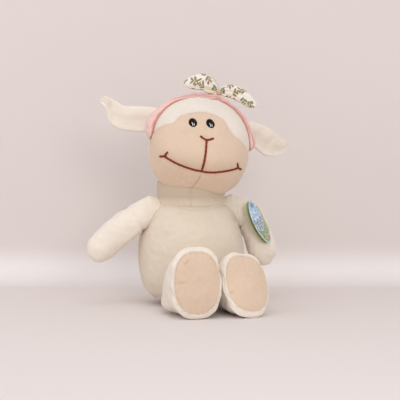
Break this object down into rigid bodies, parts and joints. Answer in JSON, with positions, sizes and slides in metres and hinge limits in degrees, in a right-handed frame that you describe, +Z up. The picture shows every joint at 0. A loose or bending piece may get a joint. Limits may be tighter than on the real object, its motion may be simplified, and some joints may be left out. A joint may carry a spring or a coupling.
{
  "type": "plush lamb",
  "caption": "Seated cream plush lamb with a peach face, pink headband with a leaf-print bow and a folded swing tag.",
  "frame": {"origin": "middle of the flat that the toy sits on, under the torso, at floor level", "axes": "+Z up along the torso, -Y the way the toy faces, +X the toy's left"},
  "size_m": [0.229, 0.1702, 0.2411],
  "materials": {
    "cream_plush": "short velvety pile",
    "white_plush": "short velvety pile",
    "peach_plush": "short velvety pile",
    "pink_plush": "short velvety pile",
    "leaf_print": "printed cotton",
    "brown_thread": "satin stitch",
    "black_thread": "satin stitch",
    "fibre_fill": "loose polyester fibre",
    "pellet_cotton": "woven cotton",
    "tag_card": "satin printed card",
    "clear_nylon": "clear moulded",
    "satin": "satin ribbon"
  },
  "bodies": {
    "torso": {"torso_cover": "cream_plush", "torso_stuffing": "fibre_fill", "pellet_bag": "pellet_cotton", "care_label": "satin"},
    "neck": {"neck_cover": "cream_plush", "neck_stuffing": "fibre_fill"},
    "head": {"head_cover": "cream_plush", "head_stuffing": "fibre_fill", "face_panel": "peach_plush", "forehead_panel": "white_plush", "headband": "pink_plush", "nose_stitching": "brown_thread", "mouth_stitching": "brown_thread", "eye_left": "black_thread", "eye_right": "black_thread", "bow_knot": "pink_plush", "bow_loop_left": "leaf_print", "bow_loop_right": "leaf_print", "bow_tail": "leaf_print"},
    "ear_left": {"ear_left_outer": "cream_plush", "ear_left_lining": "cream_plush"},
    "ear_right": {"ear_right_outer": "cream_plush", "ear_right_lining": "cream_plush"},
    "arm_left": {"arm_left_cover": "cream_plush", "arm_left_stuffing": "fibre_fill", "tag_fastener": "clear_nylon"},
    "arm_right": {"arm_right_cover": "cream_plush", "arm_right_stuffing": "fibre_fill"},
    "leg_left": {"leg_left_cover": "cream_plush", "leg_left_stuffing": "fibre_fill", "sole_left": "peach_plush"},
    "leg_right": {"leg_right_cover": "cream_plush", "leg_right_stuffing": "fibre_fill", "sole_right": "peach_plush"},
    "tag": {"swing_tag": "tag_card"}
  },
  "joints": [
    {"name": "neck_turn", "type": "hinge", "parent": "torso", "child": "neck", "pos_m": [0, 0, 0.11], "axis": [0, 0, 1], "range_deg": [-35, 35]},
    {"name": "head_nod", "type": "hinge", "parent": "neck", "child": "head", "pos_m": [0, 0, 0.12475], "axis": [1, 0, 0], "range_deg": [-12, 16]},
    {"name": "ear_left_flop", "type": "hinge", "parent": "head", "child": "ear_left", "pos_m": [0.05454, -0.00774, 0.1783], "axis": [-0.2377, 0.9699, 0.0535], "range_deg": [-30, 22]},
    {"name": "ear_right_flop", "type": "hinge", "parent": "head", "child": "ear_right", "pos_m": [-0.03583, 0.00175, 0.19269], "axis": [0.4342, 0.8992, -0.0535], "range_deg": [-24, 25]},
    {"name": "arm_left_lift", "type": "hinge", "parent": "torso", "child": "arm_left", "pos_m": [0.047, -0.002, 0.0945], "axis": [0, -1, 0], "range_deg": [-3, 40]},
    {"name": "arm_right_lift", "type": "hinge", "parent": "torso", "child": "arm_right", "pos_m": [-0.047, -0.002, 0.0945], "axis": [0, 1, 0], "range_deg": [-10, 30]},
    {"name": "leg_left_swing", "type": "hinge", "parent": "torso", "child": "leg_left", "pos_m": [0.025, -0.039, 0.0145], "axis": [1, 0, 0], "range_deg": [-6, 45]},
    {"name": "leg_right_swing", "type": "hinge", "parent": "torso", "child": "leg_right", "pos_m": [-0.025, -0.039, 0.0145], "axis": [1, 0, 0], "range_deg": [-6, 45]},
    {"name": "tag_swing", "type": "hinge", "parent": "arm_left", "child": "tag", "pos_m": [0.0597, -0.0275, 0.1055], "axis": [-0.627, -0.705, -0.3313], "range_deg": [0, 25]}
  ]
}
